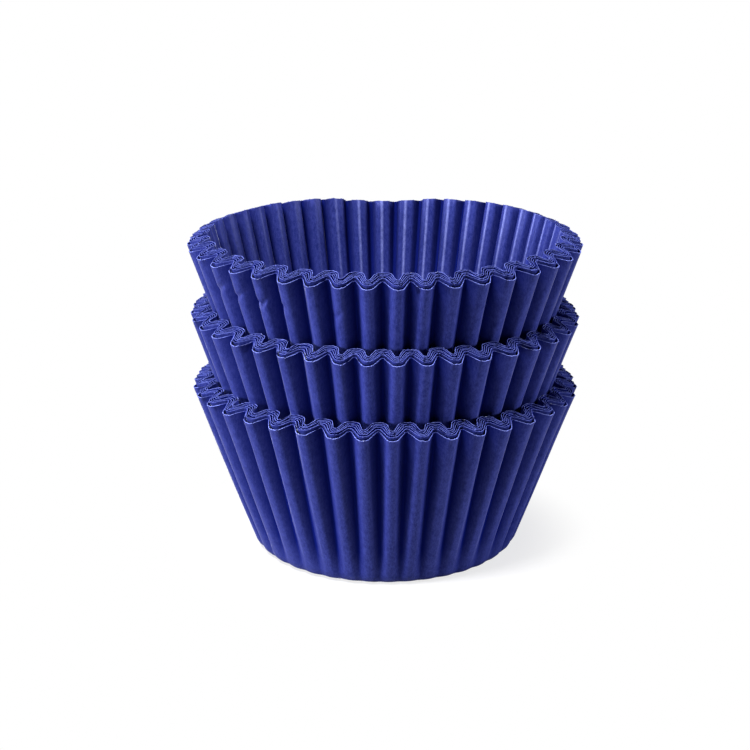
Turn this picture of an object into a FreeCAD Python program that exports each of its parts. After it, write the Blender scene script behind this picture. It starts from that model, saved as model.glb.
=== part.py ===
import FreeCAD, Part
import math
import os

# A stack of paper cupcake liners: three nested bundles, stood one in another.
# Millimetres and degrees. Z is up, and the base of the lowest liner lies on Z = 0.

# The stack
bundle_count = 3
liners_per_bundle = 6
bundle_names = ["bottom", "middle", "top", "fourth", "fifth", "sixth"]

# One liner, as it stands outermost in its bundle
base_diameter = 51.0        # flat base, out to where the wall's line meets it
rim_diameter = 74.0         # across the pleat crests
wall_length = 35.0          # paper from the base's edge up to the rim
corner_radius = 3.0         # rounding between base and wall, outside
paper_thickness = 0.1

# Pleats
pleat_count = 42
pleat_depth = 2.75          # from crest to valley at the rim, square to the wall
bend_share = 0.78           # crest and valley radii together, as a share of half the pitch
front_crest_angle = 3.4     # from the front, -Y, towards +X

# Air between neighbouring liners of a bundle
rim_gap = 0.24
base_gap = 0.05
flank_gap = 0.17

# An upper bundle's crests sink between the ridges that they rest on,
# by this share of the pleat depth
interlock_share = 0.155

# Flat facets around each rounding: half a crest, a valley, the corner at the base
crest_facets = 3
valley_facets = 6
corner_facets = 4

sew_tolerance = 0.0001

axis_up = FreeCAD.Vector(0, 0, 1)
origin = FreeCAD.Vector(0, 0, 0)
pleat_pitch = 360.0 / pleat_count


class Liner:
    """The sizes of one liner, counted from the outermost of its bundle, 0."""

    def __init__(self, layer):
        self.base_radius = base_diameter / 2 - layer * (paper_thickness + base_gap)
        self.base_height = layer * (paper_thickness + base_gap)
        self.rim_radius = rim_diameter / 2 - layer * (paper_thickness + rim_gap)
        run = self.rim_radius - self.base_radius
        self.rim_height = self.base_height + math.sqrt(wall_length ** 2 - run ** 2)
        self.lean = math.asin(run / wall_length)

        # The centre of the rounded corner between base and wall
        tangent = corner_radius * math.tan((math.pi / 2 - self.lean) / 2)
        self.corner_x = self.base_radius - tangent
        self.corner_z = self.base_height + corner_radius

        # The pleat's section at the rim. Neighbouring flanks stand side by side,
        # so crests get tighter and valleys wider from liner to liner inwards
        self.half_width = self.rim_radius * math.sin(math.radians(pleat_pitch / 2))
        bends = bend_share * self.half_width / 2
        spread = (paper_thickness + flank_gap) * ((liners_per_bundle - 1) / 2 - layer)
        self.crest_radius = bends + spread
        self.valley_radius = bends - spread

        # The crest's centre lies on the plane between two pleats, and the flank
        # is the straight line that touches both bends
        self.mitre = math.atan(math.cos(self.lean) * math.tan(math.radians(pleat_pitch / 2)))
        across = self.half_width - self.crest_radius * math.sin(self.mitre)
        inward = pleat_depth - self.valley_radius - self.crest_radius * math.cos(self.mitre)
        reach = math.asin((self.crest_radius + self.valley_radius) / math.hypot(across, inward))
        self.flank_angle = math.atan2(inward, across) + reach

    def corner_point(self, facing, inset):
        """A point of the corner's arc in the X-Z plane; facing 0 looks outwards."""
        bend = corner_radius - inset
        return FreeCAD.Vector(self.corner_x + bend * math.cos(facing), 0, self.corner_z + bend * math.sin(facing))

    def rim_point(self, side, inward):
        """A point of the rim section of the pleat whose valley faces +X."""
        radius = self.rim_radius * math.cos(math.radians(pleat_pitch / 2)) - inward * math.cos(self.lean)
        return FreeCAD.Vector(radius, side, self.rim_height + inward * math.sin(self.lean))

    def crest_bend(self, side, angle, inset):
        bend = self.crest_radius - inset
        across = self.half_width - self.crest_radius * math.sin(self.mitre) - bend * math.sin(angle)
        inward = self.crest_radius * math.cos(self.mitre) - bend * math.cos(angle)
        return self.rim_point(side * across, inward)

    def valley_bend(self, angle, inset):
        bend = self.valley_radius + inset
        return self.rim_point(bend * math.sin(angle), pleat_depth - self.valley_radius + bend * math.cos(angle))


def steps(first, last, count):
    return [first + (last - first) * step / count for step in range(count + 1)]


def rim_section(liner, inset):
    """The pleat's section at the rim, from one crest to the next."""
    crest = steps(-liner.mitre, liner.flank_angle, crest_facets)
    valley = steps(-liner.flank_angle, liner.flank_angle, valley_facets)
    points = [liner.crest_bend(-1, angle, inset) for angle in crest]
    points += [liner.valley_bend(angle, inset) for angle in valley]
    points += [liner.crest_bend(1, angle, inset) for angle in reversed(crest)]
    return points


def facet(*points):
    return Part.Face(Part.makePolygon(list(points) + [points[0]]))


def turned(shape, pleats):
    copy = shape.copy()
    copy.rotate(origin, axis_up, pleats * pleat_pitch)
    return copy


def skin_facets(liner, inset):
    """One side of the paper for one pleat. The valley's groove widens and deepens
    upwards from a point at the corner's top, and leaves a crest that narrows."""
    turn = FreeCAD.Rotation(axis_up, pleat_pitch)
    rings = [liner.corner_point(facing, inset) for facing in steps(-math.pi / 2, -liner.lean, corner_facets)]
    facets = [facet(low, turn.multVec(low), turn.multVec(high), high) for low, high in zip(rings, rings[1:])]
    start = rings[-1]
    section = rim_section(liner, inset)
    facets += [facet(start, left, right) for left, right in zip(section, section[1:])]
    facets.append(facet(start, turn.multVec(start), section[-1]))
    return facets


def base_facet(liner, inset):
    start = liner.corner_point(-math.pi / 2, inset)
    turns = [FreeCAD.Rotation(axis_up, pleat_pitch * pleat) for pleat in range(pleat_count)]
    return facet(*[turn.multVec(start) for turn in turns])


def liner_solid(layer):
    """Folded paper: both sides, and the cut edge that joins them at the rim."""
    liner = Liner(layer)
    outside = rim_section(liner, 0)
    inside = rim_section(liner, paper_thickness)
    pleat = [facet(*outside, *reversed(inside))]
    faces = []
    for inset in (0, paper_thickness):
        pleat += skin_facets(liner, inset)
        faces.append(base_facet(liner, inset))
    for number in range(pleat_count):
        faces += [turned(face, number) for face in pleat]
    sewn = Part.makeCompound(faces)
    sewn.sewShape(sew_tolerance)
    solid = Part.Solid(sewn.Shells[0])
    if solid.Volume < 0:
        solid.reverse()
    solid.rotate(origin, axis_up, front_crest_angle - 90 + pleat_pitch / 2)
    return solid


def bundle_rise():
    """How far each bundle stands above the one that holds it."""
    outer = Liner(0)
    inner = Liner(liners_per_bundle - 1)
    ridge = pleat_depth + paper_thickness
    seat_radius = inner.rim_radius - ridge * math.cos(inner.lean) + interlock_share * pleat_depth
    seat_height = inner.rim_height + ridge * math.sin(inner.lean)
    return seat_height - (seat_radius - outer.base_radius) / math.tan(outer.lean)


os.makedirs("parts", exist_ok=True)
rise = bundle_rise()
print("bundle rise", round(rise, 3))
for layer in range(liners_per_bundle):
    solid = liner_solid(layer)
    print("liner", layer + 1, "valid", solid.isValid(), "closed", solid.isClosed(),
          "volume", round(solid.Volume, 1), "faces", len(solid.Faces))
    for bundle in range(bundle_count):
        placed = solid.copy()
        placed.translate(axis_up * (bundle * rise))
        placed.exportStep("parts/%s_liner_%d.step" % (bundle_names[bundle], layer + 1))
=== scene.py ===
import math
import bpy
import numpy as np
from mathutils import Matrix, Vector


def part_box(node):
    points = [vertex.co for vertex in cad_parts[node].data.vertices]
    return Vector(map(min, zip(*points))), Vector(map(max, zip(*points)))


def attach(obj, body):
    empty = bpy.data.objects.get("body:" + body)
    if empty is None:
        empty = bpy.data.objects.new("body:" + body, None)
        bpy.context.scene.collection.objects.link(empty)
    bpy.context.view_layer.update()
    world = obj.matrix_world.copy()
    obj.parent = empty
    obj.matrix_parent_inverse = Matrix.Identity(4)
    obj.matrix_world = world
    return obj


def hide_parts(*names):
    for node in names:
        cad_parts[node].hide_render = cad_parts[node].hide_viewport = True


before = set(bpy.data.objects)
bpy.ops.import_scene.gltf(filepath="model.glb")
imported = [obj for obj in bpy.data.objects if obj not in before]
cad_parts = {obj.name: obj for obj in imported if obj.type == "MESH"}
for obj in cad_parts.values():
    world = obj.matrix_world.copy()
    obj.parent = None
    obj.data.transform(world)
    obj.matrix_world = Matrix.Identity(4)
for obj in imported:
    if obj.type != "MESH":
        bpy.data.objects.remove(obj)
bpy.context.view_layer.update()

mm = 0.001

# Sizes in millimetres and degrees, as on the real liners
stack = {
    "bundles": ["bottom", "middle", "top"],
    "liners": 6,
    "pleats": 42,
    "seed": 11,
}
# Where the crests stand, in degrees from the front towards +X: the first one, then how
# the pleats crowd and spread around the liner, as waves of size and phase
crests = {
    "bottom": {"first": 3.2, "waves": [(4.6, -21), (0.4, 136), (2.3, 174)]},
    "middle": {"first": 4.6, "waves": [(2.8, -5), (1.15, -159), (1.7, -163)]},
    "top": {"first": 4.4, "waves": [(2.3, -13), (1.6, -171), (1.7, -168)]},
}
# How each rim is out of true, in millimetres: wider from side to side, lower at the back
# all along or in a short dip, higher at the left
bends = {
    "bottom": {"wide": 0.0, "back": 1.6, "dip": 0.0, "left": 0.4},
    "middle": {"wide": 0.0, "back": 0.4, "dip": 0.0, "left": 0.5},
    "top": {"wide": 0.2, "back": -0.4, "dip": 1.3, "left": 0.05},
}
# Dents in the outermost liner of the top bundle: degrees from the front towards +X,
# share of the height, millimetres along, across and deep, and the way the long side leans
dents = [
    {"at": (-55.5, 0.875), "size": (1.6, 0.55, 0.45), "turn": 40},
    {"at": (-46.8, 0.865), "size": (1.5, 0.45, 0.4), "turn": 30},
    {"at": (-39.0, 0.86), "size": (1.4, 0.45, 0.45), "turn": -50},
    {"at": (-37.0, 0.855), "size": (1.4, 0.4, 0.4), "turn": 50},
    {"at": (-30.5, 0.85), "size": (0.9, 0.7, 0.4), "turn": -30},
    {"at": (-14.0, 0.83), "size": (1.3, 0.5, 0.3), "turn": 45},
]
# One liner. Its pleats are given for the outermost of a bundle, the second and the innermost: how deep
# a groove is, the radii of crest and valley, half the width of the groove's flat ridge and the slope of
# that half in degrees, and how far the ridge is pushed aside
liner = {
    "baseRadius": 25.5, "rimRadius": 37.0, "wallLength": 35.0, "cornerRadius": 3.0, "paper": 0.1,
    "baseStep": 0.15, "rimStep": 0.34,      # from each liner to the next one in
    "outerGap": 0.12,                       # more room behind the outermost liner
    "outer": {
        "depth": 2.5, "crest": 1.35, "valley": 0.4, "ridgeFlat": 0.0, "ridgeSlope": 0.0, "skew": 0.0,
    },
    "second": {
        "depth": 2.2, "crest": 1.2, "valley": 0.55, "ridgeFlat": 0.1, "ridgeSlope": 3.0, "skew": 0.05,
    },
    "inner": {
        "depth": 2.35, "crest": 0.35, "valley": 0.8, "ridgeFlat": 1.05, "ridgeSlope": 13.0, "skew": 0.3,
    },
    "highlightWidth": 0.42, "crestFlat": 0.24, # half a ridge's painted highlight on its crease, and the flat on a crest
    "growth": 0.75, "startEase": 0.06,      # how a groove begins at the base
    "bulge": 0.22,                          # of the wall, half way up
}
# Painted highlights: their strength around the innermost ridges, then the fold, a painted highlight on
# the side of each outermost crest, and the places where it comes and goes, in degrees from the front.
# The fold lies where the crest has turned by foldFront less foldSlope for each degree from the front,
# within foldLeast and foldMost
paintedHighlights = {
    "ridgeAt": [-180, -168, -155, 50, 80], "ridge": [1, 0.8, 0.12, 0.12, 1],
    "fold": 0.5, "foldAt": [14, 40, 150, 170], "foldWidth": 9.0,
    "foldMost": 38.0, "foldLeast": 14.0, "foldFront": 86.0, "foldSlope": 1.12,
    "start": [0.12, 0.25],                  # shares of the height between which the marks appear
}
# Painted shade: how much darker the hollows are, and how much light reaches the skins and edges between
# liners
shade = {
    "groove": 0.98, "recess": 0.95, "valley": 0.8,
    "fullAt": 4,                            # full from this part of the height up: one in four
    "outerBack": 0.5, "secondFront": 0.75,
    "nestedRim": 0.36, "innerRim": 0.5,
}
# What chance does to the paper, in millimetres where nothing else is said
slack = {
    "pitch": 0.022, "depth": 0.035,         # shares of a pleat
    "rimWave": 0.05, "rimPleat": 0.04, "rimLayer": 0.02, "rimLiner": 0.05, "fray": 0.05,
    "phases": 6, "layerPhase": 0.2,         # of the rim's waves, radians
    "outerDrop": 0.5,                       # the outermost rim hangs lower
    "innerDrop": 0.12, "innerStep": 0.06,   # the others, and each one further in
    "dipWidth": 0.36,                       # radians
    "fade": 4,                              # the power by which all this fades down the wall
}
# Rows up the wall and steps along half a groove: for the dented liner, for the others that are seen
# whole, and for the nested ones
detail = {
    "marked": {"rows": 22, "flat": 2, "shoulder": 6, "flank": 2, "valley": 4},
    "shown": {"rows": 21, "flat": 2, "shoulder": 6, "flank": 2, "valley": 5},
    "nested": {"rows": 6, "flat": 2, "shoulder": 3, "flank": 1, "valley": 4},
    "nestedPower": 1.6,                     # the nested liners' rows crowd at the rim
    "cornerRows": 5,
    "dentRows": 12, "dentBand": (0.81, 0.9),
}


def linerSizes(layer):
    # the outermost liner of a bundle is layer 0
    size = dict(liner["outer"])
    if layer:
        share = (layer - 1) / (stack["liners"] - 2)
        for key, value in liner["second"].items():
            size[key] = value + share * (liner["inner"][key] - value)
    size["layer"] = layer
    size["baseRadius"] = liner["baseRadius"] - layer * liner["baseStep"]
    size["rimRadius"] = liner["rimRadius"] - layer * liner["rimStep"]
    if layer:
        size["rimRadius"] -= liner["outerGap"]
    run = size["rimRadius"] - size["baseRadius"]
    size["lean"] = math.asin(run / liner["wallLength"])
    tangent = liner["cornerRadius"] * math.tan((math.pi / 2 - size["lean"]) / 2)
    size["cornerX"] = size["baseRadius"] - tangent
    size["bendLength"] = liner["cornerRadius"] * (math.pi / 2 - size["lean"])
    size["length"] = size["bendLength"] + liner["wallLength"] - tangent
    return size


def grooveSection(size, counts):
    # one groove at the rim, from crest to crest: place across, depth, and where the painted highlight
    # goes: 1 on the innermost ridge's crease, or how far the outermost crest has turned, in degrees
    half = math.pi * size["rimRadius"] / stack["pleats"] - liner["crestFlat"] / 2
    crest, valley, flat = size["crest"], size["valley"], size["ridgeFlat"]
    slope = math.radians(size["ridgeSlope"])
    edge = size["depth"] - flat * math.tan(slope)
    across = half - flat + valley * math.sin(slope)
    inward = edge - crest - valley * math.cos(slope)
    flank = math.atan2(inward, across) + math.asin((crest + valley) / math.hypot(across, inward))
    side = []
    for turned in np.linspace(0, flank, counts["shoulder"] + 1):
        mark = 0 if size["layer"] else math.degrees(turned)
        side.append((-half + crest * math.sin(turned), crest * (1 - math.cos(turned)), mark))
    ridge = []
    for turned in np.linspace(flank, slope, counts["valley"] + 1):
        place = -flat + valley * (math.sin(slope) - math.sin(turned))
        ridge.append((place, edge - valley * (math.cos(slope) - math.cos(turned)), 0))
    start, end = np.array(side[-1]), np.array(ridge[0])
    side += [tuple(start + (end - start) * k / counts["flank"]) for k in range(1, counts["flank"])]
    side += ridge[:-1]
    if flat:
        side.append(ridge[-1])
    width = liner["highlightWidth"]
    if flat > width:
        side.append((-width, size["depth"] - width * math.tan(slope), 0))
    marked = size["layer"] == stack["liners"] - 1
    middle = (0, size["depth"], 1 if marked else 0)
    whole = np.array(side + [middle] + [(-x, inset, -mark) for x, inset, mark in side[::-1]])
    whole[:, 0] += size["skew"] * np.cos(math.pi / 2 * whole[:, 0] / half) ** 2
    return half, whole


def wallGrid(size, rows, counts, bundle, baseHeight, rng):
    # outer skin of one liner: rows up the paper, columns around it
    half, section = grooveSection(size, counts)
    share = rows[:, None]
    distance = share * size["length"]
    bend = np.minimum(distance, size["bendLength"])
    facing = bend / liner["cornerRadius"] - math.pi / 2
    straight = distance - bend
    radius = size["cornerX"] + liner["cornerRadius"] * np.cos(facing)
    radius = radius + straight * math.sin(size["lean"])
    height = liner["cornerRadius"] * (1 + np.sin(facing)) + straight * math.cos(size["lean"])

    depthGrowth = share ** liner["growth"] * (1 - np.exp(-share / liner["startEase"]))
    halfPitch = math.pi * radius / stack["pleats"]
    grooveHalf = halfPitch * half * stack["pleats"] / (math.pi * size["rimRadius"])

    # columns of one pleat: the groove, then the flat left on the crest
    flat = np.linspace(0, 1, counts["flat"] + 1)[1:-1]
    across = [section[None, :, 0] / half * grooveHalf]
    across += [grooveHalf + 2 * (halfPitch - grooveHalf) * step for step in flat]
    place = np.concatenate(across, axis=1) / (2 * halfPitch)       # -0.5 and 0.5 at the crests
    depth = np.concatenate([section[:, 1], np.zeros(len(flat))])
    inward = depth[None, :] * depthGrowth
    creaseHighlight = np.concatenate([section[:, 2], np.zeros(len(flat))])

    pitch = 2 * math.pi / stack["pleats"]
    shift = bundle["pitchNoise"]
    angles, depths, lifts = [], [], []
    for k in range(stack["pleats"]):
        crestShifts = shift[[k, (k + 1) % len(shift), (k + 2) % len(shift)]]
        moved = np.interp(place, [-0.5, 0.5, 1.5], crestShifts)
        angles.append((place + k + 0.5 + moved * share) * pitch)
        depths.append(inward * (1 + bundle["depthNoise"][k]))
        lifts.append(np.full(place.shape, bundle["rimNoise"][k]))
    even = np.concatenate(angles, axis=1)
    angle = even + math.radians(bundle["first"] - 90)
    for number, (extent, phase) in enumerate(bundle["waves"], 1):
        angle = angle + math.radians(extent) * np.sin(number * even + math.radians(phase))
    inward = np.concatenate(depths, axis=1) - liner["bulge"] * np.sin(math.pi * share)
    lift = np.concatenate(lifts, axis=1) * slack["rimPleat"]
    if size["layer"]:
        own = rng.normal(0, slack["rimLiner"], stack["pleats"])
        lift = lift + np.interp(even, np.arange(stack["pleats"]) * pitch, own, period=2 * math.pi)

    wave = bundle["wave"] + rng.normal(0, slack["layerPhase"], 2)
    lift = lift + slack["rimWave"] * (np.sin(2 * angle + wave[0]) + np.sin(3 * angle + wave[1]))
    drop = slack["outerDrop"]
    if size["layer"]:
        drop = slack["innerDrop"] + slack["innerStep"] * (size["layer"] - 1)
    lift = lift + rng.normal(0, slack["rimLayer"]) - drop
    lift = lift - bundle["left"] * np.cos(angle) - bundle["back"] * (0.5 + 0.5 * np.sin(angle))
    fromBack = np.mod(angle, 2 * math.pi) - math.pi / 2
    lift = lift - bundle["dip"] * np.exp(-(fromBack / slack["dipWidth"]) ** 2)
    radius = radius + bundle["wide"] * share * np.cos(2 * angle)
    fromFront = np.degrees(np.mod(angle + math.pi * 1.5, 2 * math.pi)) - 180
    if bundle["dents"] and size["layer"] == 0:
        for dent in dents:
            aside = np.radians(fromFront - dent["at"][0]) * size["rimRadius"]
            above = (share - dent["at"][1]) * size["length"]
            turn = math.radians(dent["turn"])
            along = (aside * math.cos(turn) + above * math.sin(turn)) / dent["size"][0]
            across = (above * math.cos(turn) - aside * math.sin(turn)) / dent["size"][1]
            inward = inward + dent["size"][2] * np.exp(-along ** 2 - across ** 2)
    lift = lift + np.where(share == 1, rng.normal(0, slack["fray"], lift.shape), 0)
    radius = radius - inward * np.cos(facing)
    height = height - inward * np.sin(facing) + lift * share ** slack["fade"]
    grid = np.stack([radius * np.cos(angle), radius * np.sin(angle), height], axis=2) * mm
    grid[:, :, 2] += baseHeight

    # painted highlights: on the innermost ridges at the right and the back, on the crests at their
    # outward sides
    creaseHighlight = np.tile(creaseHighlight, (len(rows), stack["pleats"]))
    if size["layer"]:
        creaseHighlight = creaseHighlight * np.interp(fromFront, paintedHighlights["ridgeAt"], paintedHighlights["ridge"])
    else:
        fold = np.minimum(paintedHighlights["foldMost"], paintedHighlights["foldFront"] - paintedHighlights["foldSlope"] * np.abs(fromFront))
        fold = np.where(np.abs(fromFront) < 90, np.maximum(fold, paintedHighlights["foldLeast"]), paintedHighlights["foldMost"])
        outward = np.interp(fromFront * np.sign(creaseHighlight), paintedHighlights["foldAt"], [0, 1, 1, 0])
        strip = np.exp(-((np.abs(creaseHighlight) - fold) / paintedHighlights["foldWidth"]) ** 2)
        creaseHighlight = paintedHighlights["fold"] * outward * strip
    creaseHighlight = creaseHighlight * np.interp(share, paintedHighlights["start"], [0, 1])
    return grid, creaseHighlight, np.tile(depth / size["depth"], (len(rows), stack["pleats"]))


def skinNormals(grid):
    around = np.roll(grid, -1, axis=1) - np.roll(grid, 1, axis=1)
    up = np.gradient(grid, axis=0)
    normal = np.cross(around, up)
    return normal / np.linalg.norm(normal, axis=2, keepdims=True)


def linerShades(layer, deep):
    # how much light reaches the rim's edge, the outer skin and the inner skin
    edge = np.full(len(deep), shade["nestedRim"])
    outer = np.zeros(len(deep))
    inner = np.zeros(len(deep))
    if layer == 0:
        edge = 1 - shade["valley"] * deep
        outer = 1 - shade["groove"] * deep
        inner += shade["outerBack"]
    elif layer == 1:
        outer += shade["secondFront"]
    elif layer == stack["liners"] - 1:
        edge[:] = shade["innerRim"]
        inner = 1 - shade["recess"] * (1 - deep)
    return edge, outer, inner


def linerMesh(name, grid, creaseHighlight, depth, share, layer):
    rows, columns = grid.shape[:2]
    inner = grid - skinNormals(grid) * liner["paper"] * mm
    points = np.concatenate([grid.reshape(-1, 3), inner.reshape(-1, 3)])
    one = np.arange(rows * columns).reshape(rows, columns)
    two = one + rows * columns
    nextOne, nextTwo = np.roll(one, -1, axis=1), np.roll(two, -1, axis=1)
    outside = np.stack([one[:-1], nextOne[:-1], nextOne[1:], one[1:]], axis=2).reshape(-1, 4)
    inside = np.stack([two[:-1], two[1:], nextTwo[1:], nextTwo[:-1]], axis=2).reshape(-1, 4)
    rim = np.stack([one[-1], nextOne[-1], nextTwo[-1], two[-1]], axis=1)
    quads = np.concatenate([outside, inside, rim])
    loops = np.concatenate([quads.ravel(), one[0][::-1], two[0]])
    sizes = np.concatenate([np.full(len(quads), 4), [columns, columns]])
    starts = np.concatenate([[0], np.cumsum(sizes)[:-1]])

    mesh = bpy.data.meshes.new(name)
    mesh.vertices.add(len(points))
    mesh.vertices.foreach_set("co", points.ravel())
    mesh.loops.add(len(loops))
    mesh.loops.foreach_set("vertex_index", loops)
    mesh.polygons.add(len(sizes))
    mesh.polygons.foreach_set("loop_start", starts)
    mesh.polygons.foreach_set("loop_total", sizes)
    slots = np.zeros(len(sizes), dtype=np.int32)
    slots[len(outside) + len(inside):len(quads)] = 1
    mesh.polygons.foreach_set("material_index", slots)
    mesh.update(calc_edges=True)
    mesh.validate()

    # the cut edge stays crisp, the rest is smooth
    ends = np.empty(len(mesh.edges) * 2, dtype=np.int32)
    mesh.edges.foreach_get("vertices", ends)
    ends = ends.reshape(-1, 2)
    rimPoint = np.zeros(len(points), dtype=bool)
    rimPoint[one[-1]] = True
    rimPoint[two[-1]] = True
    sameSkin = (ends[:, 0] < rows * columns) == (ends[:, 1] < rows * columns)
    sharp = rimPoint[ends].all(axis=1) & sameSkin
    mesh.attributes.new("sharp_edge", "BOOLEAN", "EDGE").data.foreach_set("value", sharp)

    # what the paper's material reads: painted highlights on the creases, the rim's pale cut edge with
    # painted shade on it, and painted shade as how much light reaches each place
    deep = depth.ravel() * np.repeat(np.minimum(share * shade["fullAt"], 1), columns)
    edge, outerShade, innerShade = linerShades(layer, deep)
    rimLight = np.repeat(share == 1, columns) * edge
    marks = {
        "creaseHighlight": np.tile(creaseHighlight.ravel(), 2),
        "rim": np.tile(rimLight, 2),
        "lightReach": np.concatenate([outerShade, innerShade]),
    }
    for label, values in marks.items():
        attribute = mesh.attributes.new(label, "FLOAT", "POINT")
        attribute.data.foreach_set("value", values.astype(np.float32))
    return mesh


class Socket:
    # a node's output that takes part in Python sums
    def __init__(self, tree, out):
        self.tree = tree
        self.out = out

    def math(self, operation, *values):
        return addNode(self.tree, "ShaderNodeMath", {"operation": operation}, dict(enumerate(values)))

    def __add__(self, other):
        return self.math("ADD", self, other)

    def __mul__(self, other):
        return self.math("MULTIPLY", self, other)


def addNode(tree, kind, settings=None, values=None, output=0):
    node = tree.nodes.new(kind)
    for name, value in (settings or {}).items():
        setattr(node, name, value)
    for name, value in (values or {}).items():
        if isinstance(value, Socket):
            tree.links.new(value.out, node.inputs[name])
        else:
            node.inputs[name].default_value = value
    return Socket(tree, node.outputs[output])


paper = {
    # the paper's mottle runs from the first colour to the second; the third is the pale of the rim's
    # cut edge, its own wear with painted glints, and of the painted highlights on the creases
    "deep": (0.013, 0.02, 0.145), "pale": (0.044, 0.056, 0.28), "wearAndHighlight": (0.36, 0.41, 0.95),
    # the colour of painted shade, in the hollows and on the skins between liners
    "paintedShade": (0.003, 0.007, 0.11),
    "roughness": 0.42, "shadedRoughness": 0.8, "specular": 0.14, "specularTint": (0.5, 0.56, 1.0),
    "sheen": 0.6, "sheenRoughness": 0.12, "sheenTint": (0.66, 0.7, 1.0),
    # noises in the paper: size in millimetres, detail, stretch upwards, share of the mottle
    "clouds": {"size": 1.6, "steps": 3, "stretch": 1.0, "share": 0.2},
    "fibres": {"size": 0.3, "steps": 2, "stretch": 3.0, "share": 0.4},
    "grain": {"size": 0.1, "steps": 1, "stretch": 1.0, "share": 0.4},
    "bump": 0.6, "bumpHeight": 0.03, "fibreBump": 0.6, "grainBump": 0.4,
    # strengths of the rim's pale band, partly its own wear and partly painted glints, and of the
    # painted crease highlights
    "rimBand": 0.07, "rimWearAndGlint": 0.62, "creaseHighlightStrength": 0.5, "wearAndHighlightMottle": 0.8, "wearAndHighlightLeast": 0.4,
}
cutEdge = {
    # the first colour is painted shade on the cut edge, the second the cut edge's own pale; the flecks
    # make painted glints along it
    "paintedShade": (0.012, 0.02, 0.22), "colour": (0.24, 0.3, 0.88), "roughness": 0.8, "specular": 0.05,
    "edgeGlints": {"size": 0.3, "steps": 2, "stretch": 1.0}, "edgeGlintLeast": 0.4,
}
noiseRange = (0.36, 0.64)       # what a noise is spread from, to 0 and 1


def newMaterial(name):
    material = bpy.data.materials.new(name)
    material.use_nodes = True
    tree = material.node_tree
    tree.nodes.clear()
    return material, tree


def finishMaterial(tree, shader):
    out = tree.nodes.new("ShaderNodeOutputMaterial")
    tree.links.new(shader.out, out.inputs["Surface"])


def makeNoise(tree, noise):
    place = addNode(tree, "ShaderNodeTexCoord", output="Object")
    scaled = addNode(tree, "ShaderNodeVectorMath", {"operation": "MULTIPLY"},
                     {0: place, 1: (1 / mm, 1 / mm, 1 / mm / noise["stretch"])})
    return addNode(tree, "ShaderNodeTexNoise", {},
                   {"Vector": scaled, "Scale": 1 / noise["size"], "Detail": noise["steps"]})


def spreadNoise(tree, noise):
    low, high = noiseRange
    return addNode(tree, "ShaderNodeMapRange", {}, {"Value": noise, "From Min": low, "From Max": high})


def readMark(tree, name):
    return addNode(tree, "ShaderNodeAttribute", {"attribute_name": name}, output="Fac")


def mixColours(tree, share, first, second):
    first, second = [ink if isinstance(ink, Socket) else (*ink, 1) for ink in (first, second)]
    sockets = {0: share, 6: first, 7: second}
    return addNode(tree, "ShaderNodeMix", {"data_type": "RGBA"}, sockets, output=2)


def makePaper():
    material, tree = newMaterial("bluePaper")
    clouds = makeNoise(tree, paper["clouds"])
    fibres = makeNoise(tree, paper["fibres"])
    grain = makeNoise(tree, paper["grain"])
    mottle = clouds * paper["clouds"]["share"] + fibres * paper["fibres"]["share"]
    mottle = spreadNoise(tree, mottle + grain * paper["grain"]["share"])
    rim, creaseHighlight, litShare = [readMark(tree, name) for name in ("rim", "creaseHighlight", "lightReach")]
    # the rim's pale edge, its own wear dimmed by painted shade and with painted glints, and the painted
    # highlights on the creases
    wearAndHighlight = rim * paper["rimWearAndGlint"] + creaseHighlight * paper["creaseHighlightStrength"]
    wearAndHighlight = wearAndHighlight * (mottle * paper["wearAndHighlightMottle"] + paper["wearAndHighlightLeast"])
    colour = mixColours(tree, mottle, paper["deep"], paper["pale"])
    # painted shade: the hollows and the skins between liners go to the shade colour
    colour = mixColours(tree, litShare, paper["paintedShade"], colour)
    colour = mixColours(tree, wearAndHighlight, colour, paper["wearAndHighlight"])
    bump = addNode(tree, "ShaderNodeBump", {}, {
        "Strength": paper["bump"],
        "Distance": paper["bumpHeight"] * mm,
        "Height": fibres * paper["fibreBump"] + grain * paper["grainBump"],
    })
    shader = addNode(tree, "ShaderNodeBsdfPrincipled", {}, {
        "Base Color": colour,
        "Roughness": paper["roughness"],
        "Specular IOR Level": paper["specular"],
        "Specular Tint": (*paper["specularTint"], 1),
        "Sheen Weight": paper["sheen"],
        "Sheen Roughness": paper["sheenRoughness"],
        "Sheen Tint": (*paper["sheenTint"], 1),
        "Normal": bump,
    })
    # painted shade: where it is painted, in the hollows and between liners, the sheen is left out as
    # well
    shadedPaper = addNode(tree, "ShaderNodeBsdfPrincipled", {}, {
        "Base Color": colour,
        "Roughness": paper["shadedRoughness"],
        "Specular IOR Level": 0.0,
    })
    shining = addNode(tree, "ShaderNodeMath", {"operation": "MAXIMUM"}, {0: litShare, 1: wearAndHighlight})
    shader = addNode(tree, "ShaderNodeMixShader", {}, {0: shining, 1: shadedPaper, 2: shader})
    finishMaterial(tree, shader)
    return material


def makeCutEdge():
    material, tree = newMaterial("paperCutEdge")
    edgeGlints = spreadNoise(tree, makeNoise(tree, cutEdge["edgeGlints"]))
    # the cut edge's own pale, dimmed by painted shade in the valleys and between liners, with painted
    # glints
    pale = readMark(tree, "rim") * (edgeGlints + cutEdge["edgeGlintLeast"])
    shader = addNode(tree, "ShaderNodeBsdfPrincipled", {}, {
        "Base Color": mixColours(tree, pale, cutEdge["paintedShade"], cutEdge["colour"]),
        "Roughness": cutEdge["roughness"],
        "Specular IOR Level": cutEdge["specular"],
    })
    finishMaterial(tree, shader)
    return material


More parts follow.
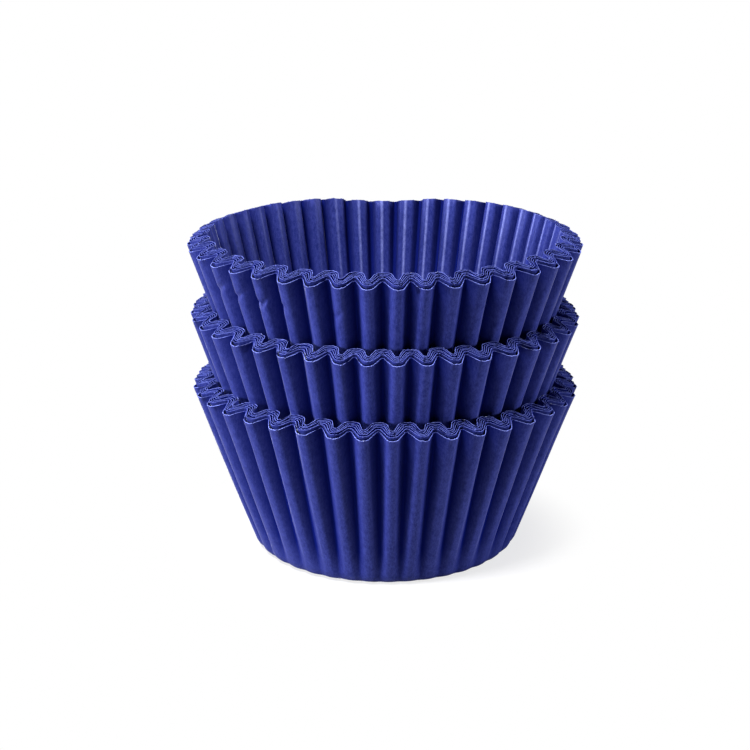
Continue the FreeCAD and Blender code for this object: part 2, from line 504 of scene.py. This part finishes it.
def linerRows(size, kind):
    # shares of the wall's length, from the base to the rim
    rows = np.linspace(0, 1, detail[kind]["rows"])
    if kind == "nested":
        rows = 1 - (1 - rows) ** detail["nestedPower"]
    else:
        corner = np.linspace(0, size["bendLength"] / size["length"], detail["cornerRows"])
        rows = np.union1d(rows, corner)
    rows = np.insert(rows, -1, 1 - paper["rimBand"] / size["length"])
    if kind == "marked":
        rows = np.union1d(rows, np.linspace(*detail["dentBand"], detail["dentRows"]))
    return rows


def makeLiners():
    bluePaper, paperEdge = makePaper(), makeCutEdge()
    rng = np.random.default_rng(stack["seed"])
    total = 0
    for bundleName in stack["bundles"]:
        bundle = {
            **crests[bundleName], **bends[bundleName], "dents": bundleName == "top",
            "pitchNoise": rng.normal(0, slack["pitch"], stack["pleats"]),
            "depthNoise": rng.normal(0, slack["depth"], stack["pleats"]),
            "rimNoise": rng.normal(0, 1, stack["pleats"]),
            "wave": rng.uniform(0, slack["phases"], 2),
        }
        for layer in range(stack["liners"]):
            node = "%s_liner_%d" % (bundleName, layer + 1)
            kind = "nested"
            if bundle["dents"] and layer == 0:
                kind = "marked"
            elif layer == 0 or (bundleName == "top" and layer == stack["liners"] - 1):
                kind = "shown"
            size = linerSizes(layer)
            rows = linerRows(size, kind)
            grid, creaseHighlight, depth = wallGrid(size, rows, detail[kind], bundle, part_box(node)[0][2], rng)
            mesh = linerMesh(node + "_paper", grid, creaseHighlight, depth, rows, layer)
            mesh.materials.append(bluePaper)
            mesh.materials.append(paperEdge)
            piece = bpy.data.objects.new(node + "_paper", mesh)
            bpy.context.scene.collection.objects.link(piece)
            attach(piece, "root")
            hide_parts(node)
            total += sum(len(p.vertices) - 2 for p in mesh.polygons)
        print(bundleName, "bundle made")
    print("liners:", total, "triangles")


# Metres, degrees and watts
studio = {
    "camera": {
        "y": -0.2966, "z": 0.1274, "pitch": 17.695, "lens": 77.03, "sensor": 36.0, "clipStart": 0.01,
        "imageWidth": 750, "axisPixel": 385.094,    # where the stack's axis stands in the image
    },
    "world": 0.012,
    "lamps": {
        "left": {"at": (-0.9, -0.26, 0.11), "size": 0.3, "power": 14.0},
        "right": {"at": (0.9, -0.1, 0.12), "size": 0.35, "power": 7.6},
        "above": {"at": (-0.25, -0.34, 0.9), "size": 0.4, "power": 17.5},
    },
    "aim": (0, 0, 0.04),
    "floor": {"size": 8.0, "colour": (0.3, 0.3, 0.31), "glow": 0.74, "near": 0.025, "far": 0.043},
}


def makeCamera():
    sizes = studio["camera"]
    data = bpy.data.cameras.new("camera")
    data.sensor_width = sizes["sensor"]
    data.lens = sizes["lens"]
    data.shift_x = (sizes["imageWidth"] / 2 - sizes["axisPixel"]) / sizes["imageWidth"]
    data.clip_start = sizes["clipStart"]
    camera = bpy.data.objects.new("camera", data)
    camera.location = (0, sizes["y"], sizes["z"])
    camera.rotation_euler = (math.radians(90 - sizes["pitch"]), 0, 0)
    bpy.context.scene.collection.objects.link(camera)
    bpy.context.scene.camera = camera


def makeLamps():
    for name, sizes in studio["lamps"].items():
        data = bpy.data.lights.new(name, "AREA")
        data.shape = "DISK"
        data.size = sizes["size"]
        data.energy = sizes["power"]
        lamp = bpy.data.objects.new(name, data)
        lamp.location = sizes["at"]
        x, y, z = [target - start for target, start in zip(studio["aim"], sizes["at"])]
        lamp.rotation_euler = (math.atan2(math.hypot(x, y), -z), 0, math.atan2(x, -y) + math.pi)
        bpy.context.scene.collection.objects.link(lamp)


def makeFloor():
    sizes = studio["floor"]
    bpy.ops.mesh.primitive_plane_add(size=sizes["size"], location=(0, 0, 0))
    floor = bpy.context.object
    floor.name = "floor"
    material, tree = newMaterial("floorWhite")
    diffuse = addNode(tree, "ShaderNodeBsdfDiffuse", {}, {"Color": (*sizes["colour"], 1)})
    ray = addNode(tree, "ShaderNodeLightPath", output="Is Camera Ray")
    glow = addNode(tree, "ShaderNodeEmission", {},
                   {"Color": (1, 1, 1, 1), "Strength": ray * sizes["glow"]})
    near = addNode(tree, "ShaderNodeAddShader", {}, {0: diffuse, 1: glow})
    place = addNode(tree, "ShaderNodeTexCoord", output="Object")
    distance = addNode(tree, "ShaderNodeVectorMath", {"operation": "LENGTH"}, {0: place}, output=1)
    away = addNode(tree, "ShaderNodeMapRange", {"interpolation_type": "SMOOTHSTEP"},
                   {"Value": distance, "From Min": sizes["near"], "From Max": sizes["far"]})
    white = addNode(tree, "ShaderNodeEmission", {}, {"Color": (1, 1, 1, 1), "Strength": 1.0})
    shader = addNode(tree, "ShaderNodeMixShader", {}, {0: away * ray, 1: near, 2: white})
    finishMaterial(tree, shader)
    floor.data.materials.append(material)


def makeWorld():
    world = bpy.data.worlds.new("world")
    bpy.context.scene.world = world
    world.use_nodes = True
    tree = world.node_tree
    tree.nodes.clear()
    ray = addNode(tree, "ShaderNodeLightPath", output="Is Camera Ray")
    strength = ray * (1 - studio["world"]) + studio["world"]
    light = addNode(tree, "ShaderNodeBackground", {}, {"Color": (1, 1, 1, 1), "Strength": strength})
    out = tree.nodes.new("ShaderNodeOutputWorld")
    tree.links.new(light.out, out.inputs["Surface"])


makeCamera()
makeLiners()
makeFloor()
makeLamps()
makeWorld()
bpy.context.scene.view_settings.view_transform = "Standard"

print("camera, floor, lamps and world made")
